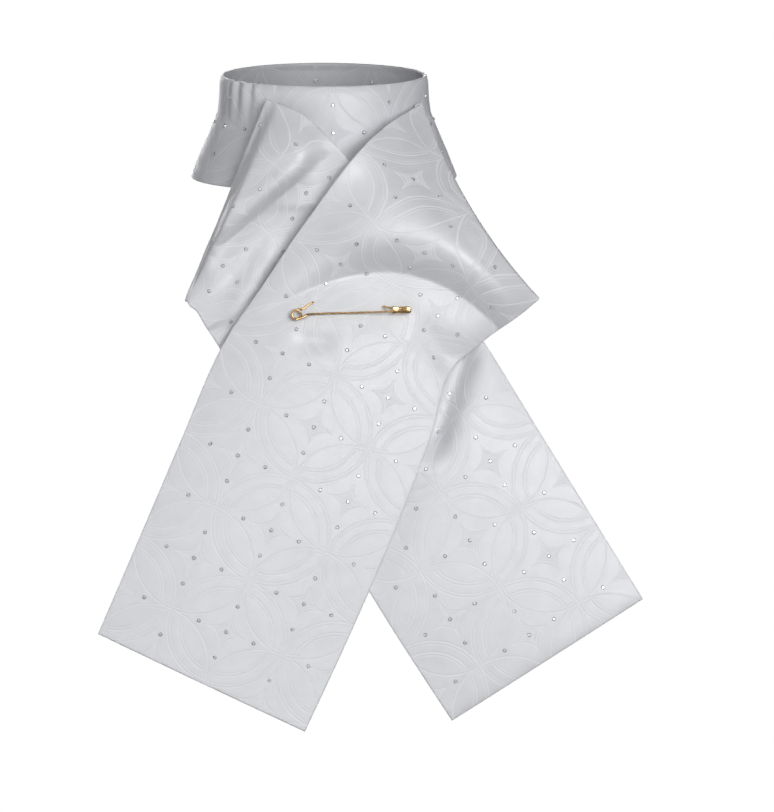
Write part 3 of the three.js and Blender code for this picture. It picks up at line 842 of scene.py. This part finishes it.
def makePinHood():
    # Rounded oblong rings along the hood: over the closed end, back to the mouth, and inside again
    hood = pin["hood"]
    length = hood["to"] - hood["from"]
    bulge = [(0, 0.0), (0.06, 0.0), (0.3, 0.28), (0.5, 0.22), (0.75, 0.02), (0.9, 0.12)]
    places, insets = zip(*bulge)
    end = np.linspace(0, math.pi / 2, 7)
    outerShare = np.concatenate([1 - 0.1 * (1 - np.cos(end)), np.linspace(0.88, 0, 24)])
    outerInset = np.concatenate([1.05 * (1 - np.sin(end)) + 0.1, np.zeros(24)])
    innerShare = np.concatenate([np.linspace(0, 0.86, 18), np.linspace(0.87, 0.92, 5)])
    innerInset = hood["wall"] + np.concatenate([np.zeros(18), np.linspace(0.1, 0.6, 5)])
    share = np.concatenate([outerShare, innerShare])
    inset = np.concatenate([outerInset, innerInset]) + np.interp(share, places, insets)
    count = 40
    angle = 2 * math.pi * np.arange(count) / count
    power = 0.55  # below one, so that an oval turns into a rounded oblong
    c, s = np.cos(angle), np.sin(angle)
    across = np.sign(c) * np.abs(c) ** power
    deep = np.sign(s) * np.abs(s) ** power
    halfHeight = np.maximum(hood["height"] / 2 - inset, 0.15)[:, None]
    halfDepth = np.maximum(hood["depth"] / 2 - 0.6 * inset, 0.12)[:, None]
    x = np.repeat((hood["from"] + share * length)[:, None], count, 1)
    rings = np.stack([x, -pin["front"] + halfDepth * deep, hood["z"] + halfHeight * across], -1)
    ends = rings[[0, -1]].mean(1)
    vertices = np.concatenate([rings.reshape(-1, 3), ends])
    number = np.arange(rings.shape[0] * count).reshape(-1, count)
    number = np.concatenate([number, number[:, :1]], 1)
    faces = np.stack([number[:-1, :-1], number[:-1, 1:], number[1:, 1:], number[1:, :-1]], -1)
    first, last = len(vertices) - 2, len(vertices) - 1
    caps = [[first, int(b), int(a)] for a, b in zip(number[0, :-1], number[0, 1:])]
    caps += [[last, int(a), int(b)] for a, b in zip(number[-1, :-1], number[-1, 1:])]
    return newObject("pin_hood", vertices, faces.reshape(-1, 4).tolist() + caps, goldSheet)


pinWire = makePinWire()
pinHood = makePinHood()
overTree, underTree = treeOf(overCloth), treeOf(underCloth)
overSpots = tailSpots(overTail, overGrid, [], clearOfPin)
underSpots = tailSpots(underTail, underGrid, [overTree], lambda point: True)
overStones = stoneObject("over_tail_stones", overSpots, stones["seed"])
underStones = stoneObject("under_tail_stones", underSpots, stones["seed"] + 1)
bandStones = stoneObject("neckband_stones", bandSpots([overTree, underTree]), stones["seed"] + 2)
print("stones and pin made")

# Camera, light and floor
view = {
    "elevation": math.radians(4),
    "distance": 3.0,
    "frameWidth": 0.4528,  # what the picture is wide at the object
    "middle": (0.0369, -0.09, -0.158),
}


def makeCamera():
    # Looks at the middle of the picture from the distance, raised by the elevation
    data = bpy.data.cameras.new("camera")
    data.type = "ORTHO"  # the photograph was taken from so far off that it has no perspective
    data.sensor_fit = "HORIZONTAL"
    data.ortho_scale = view["frameWidth"]
    camera = bpy.data.objects.new("camera", data)
    bpy.context.scene.collection.objects.link(camera)
    x, y, z = view["middle"]
    camera.location = (
        x,
        y - view["distance"] * math.cos(view["elevation"]),
        z + view["distance"] * math.sin(view["elevation"]),
    )
    camera.rotation_euler = (math.pi / 2 - view["elevation"], 0, 0)
    bpy.context.scene.camera = camera


studio = {
    "floorDrop": -1.3,
    "floorRadius": 24,
    "wallHeight": 12,
    "lights": [
        # place, size, watts
        ((0.75, -2.3, 0.4), 1.2, 39),
        ((-2.0, -1.3, 0.1), 1.4, 9),
        ((-0.4, 2.4, 0.5), 1.6, 42),
    ],
    "aim": (0.02, -0.07, -0.12),
}


def makeStudio():
    # Three softboxes, a round floor that diffuse and glossy rays pass by, and a wall that shadow rays
    # pass by too
    for i, (place, size, watts) in enumerate(studio["lights"]):
        data = bpy.data.lights.new(f"softbox {i + 1}", "AREA")
        data.shape = "SQUARE"
        data.size = size
        data.energy = watts
        lamp = bpy.data.objects.new(data.name, data)
        bpy.context.scene.collection.objects.link(lamp)
        lamp.location = place
        lamp.rotation_euler = (Vector(studio["aim"]) - Vector(place)).to_track_quat("-Z", "Y").to_euler()
    count = 96
    angle = np.linspace(0, 2 * math.pi, count, endpoint=False)
    rim = np.stack([np.cos(angle), np.sin(angle), 0 * angle], -1) * studio["floorRadius"]
    rim[:, 2] = studio["floorDrop"]
    top = rim + np.array([0, 0, studio["wallHeight"]])
    shader = Shader("pale floor")
    inputs = {
        "Base Color": (0.9, 0.9, 0.9, 1),
        "Roughness": 0.9,
        "Emission Color": (1, 1, 1, 1),
        "Emission Strength": 0.84,
    }
    pale = shader.finish({}, inputs)
    here = np.arange(count)
    after = (here + 1) % count
    panels = np.stack([here, here + count, after + count, after], -1)
    floor = newObject("floor", rim / mm, [here.tolist()], pale, False)
    wall = newObject("backdrop", np.concatenate([rim, top]) / mm, panels.tolist(), pale, False)
    wall.visible_shadow = False
    for backing in (floor, wall):
        backing.visible_diffuse = False
        backing.visible_glossy = False
    world = bpy.data.worlds.new("studio")
    bpy.context.scene.world = world
    world.use_nodes = True
    tree = world.node_tree
    coordinate = tree.nodes.new("ShaderNodeTexCoord")
    split = tree.nodes.new("ShaderNodeSeparateXYZ")
    ramp = tree.nodes.new("ShaderNodeValToRGB")
    half = tree.nodes.new("ShaderNodeMapRange")
    tree.links.new(coordinate.outputs["Generated"], split.inputs[0])
    half.inputs["From Min"].default_value = -1
    tree.links.new(split.outputs[2], half.inputs["Value"])
    tree.links.new(half.outputs[0], ramp.inputs[0])
    stops = [(0.0, 0.15), (0.45, 0.15), (0.55, 0.17), (1.0, 0.2)]
    while len(ramp.color_ramp.elements) < len(stops):
        ramp.color_ramp.elements.new(0.5)
    for element, (place, level) in zip(ramp.color_ramp.elements, stops):
        element.position = place
        element.color = (level, level, level * 1.02, 1)
    tree.links.new(ramp.outputs[0], tree.nodes["Background"].inputs["Color"])
    bpy.context.scene.view_settings.view_transform = "Standard"


makeCamera()
makeStudio()
print("camera and studio made")

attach(bandCloth, "root")
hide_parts("neckband")
for cloth, node in ((overCloth, "over_tail"), (underCloth, "under_tail")):
    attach(cloth, "root")
    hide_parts(node)
for piece, node, finish in (
    (pinWire, "pin_wire", "gold_wire"),
    (pinHood, "pin_guard", "gold_sheet"),
):
    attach(piece, "root")
    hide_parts(node)
for piece in (overStones, underStones, bandStones):
    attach(piece, "root")
